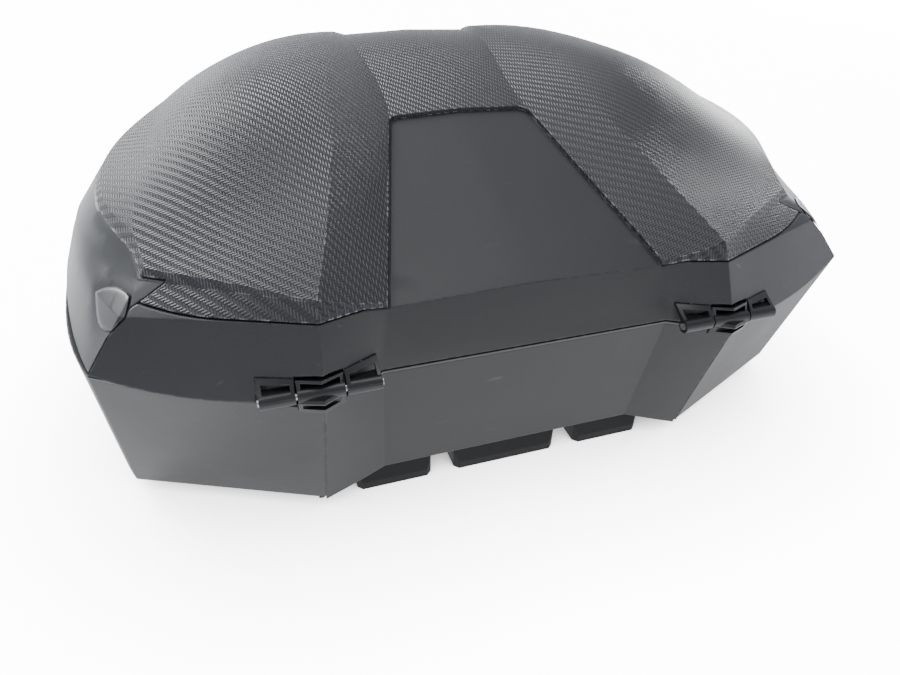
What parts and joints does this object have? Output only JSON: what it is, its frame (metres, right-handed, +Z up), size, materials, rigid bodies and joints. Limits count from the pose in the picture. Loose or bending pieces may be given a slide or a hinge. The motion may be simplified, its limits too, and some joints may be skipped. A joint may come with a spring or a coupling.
{
  "type": "motorcycle top case",
  "caption": "Lockable hinged top case with two raised lid lobes, a textured cover, corner hinges, a tapered tub with docking channel and feet.",
  "frame": {"origin": "on the ground under the middle of the closed case's bounding box", "axes": "+X along the case's width, to the right seen from the hinge side; +Y from the hinge side to the lock side; +Z up"},
  "size_m": [0.6166, 0.4268, 0.2824],
  "materials": {
    "shell_plastic": "fine moulded grain",
    "hinge_plastic": "satin moulded",
    "panel_plastic": "smooth satin",
    "carbon_cover": "moulded twill texture",
    "seal_rubber": "matt",
    "foot_rubber": "matt",
    "steel": "zinc plated",
    "nickel": "nickel plated",
    "reflector": "moulded red lens",
    "release_plastic": "moulded"
  },
  "bodies": {
    "tub": {"base_shell": "shell_plastic", "base_gasket": "seal_rubber", "base_mat": "seal_rubber", "hinge_middle_left": "hinge_plastic", "hinge_middle_right": "hinge_plastic", "hinge_pin_left": "steel", "hinge_pin_right": "steel", "tub_hinge_screws": "steel", "lock_housing": "hinge_plastic", "release_spring": "steel", "latch_bracket": "steel", "latch_pin": "steel", "lock_cover": "hinge_plastic", "lock_screws": "steel", "plate_hook_pin": "steel", "hook_cover": "hinge_plastic", "dock_plate": "hinge_plastic", "dock_screws": "steel", "front_foot_left": "foot_rubber", "front_foot_centre": "foot_rubber", "front_foot_right": "foot_rubber", "rear_foot_left": "foot_rubber", "rear_foot_right": "foot_rubber"},
    "lid": {"lid_shell": "shell_plastic", "lid_cover": "carbon_cover", "end_panel_left": "panel_plastic", "end_panel_right": "panel_plastic", "hinge_inner_left": "hinge_plastic", "hinge_inner_right": "hinge_plastic", "hinge_outer_left": "hinge_plastic", "hinge_outer_right": "hinge_plastic", "lid_hinge_screws": "steel", "cover_screws": "steel", "striker": "steel", "striker_screws": "steel", "reflector_left": "reflector", "reflector_right": "reflector"},
    "lock_plug": {"lock_cylinder": "nickel"},
    "key": {"key": "nickel"},
    "latch": {"latch_hook": "steel"},
    "release": {"release_button": "release_plastic"},
    "dock_hook": {"plate_hook": "steel"}
  },
  "joints": [
    {"name": "lid_hinge", "type": "hinge", "parent": "tub", "child": "lid", "pos_m": [0, -0.204, 0.1409], "axis": [1, 0, 0], "range_deg": [0, 80]},
    {"name": "lock_turn", "type": "hinge", "parent": "tub", "child": "lock_plug", "pos_m": [-0.026, 0.1755, 0.103], "axis": [0, 1, 0], "range_deg": [0, 90]},
    {"name": "key_pull", "type": "slide", "parent": "lock_plug", "child": "key", "axis": [0, 1, 0], "range_m": [0, 0.024]},
    {"name": "latch_swing", "type": "hinge", "parent": "tub", "child": "latch", "pos_m": [0, 0.1555, 0.119], "axis": [-1, 0, 0], "range_deg": [0, 20]},
    {"name": "release_push", "type": "slide", "parent": "tub", "child": "release", "axis": [0, -1, 0], "range_m": [0, 0.005], "stiffness_N_per_m": 300, "springref_m": -0.002, "deforming": ["release_spring"]},
    {"name": "dock_hook_swing", "type": "hinge", "parent": "tub", "child": "dock_hook", "pos_m": [0, 0.07, 0.0412], "axis": [1, 0, 0], "range_deg": [0, 15.5]}
  ],
  "couplings": [
    {"joint": "latch_swing", "follows": "lock_turn", "ratio": 0.2222},
    {"joint": "dock_hook_swing", "follows": "release_push", "rad_per_m": 52.36}
  ]
}
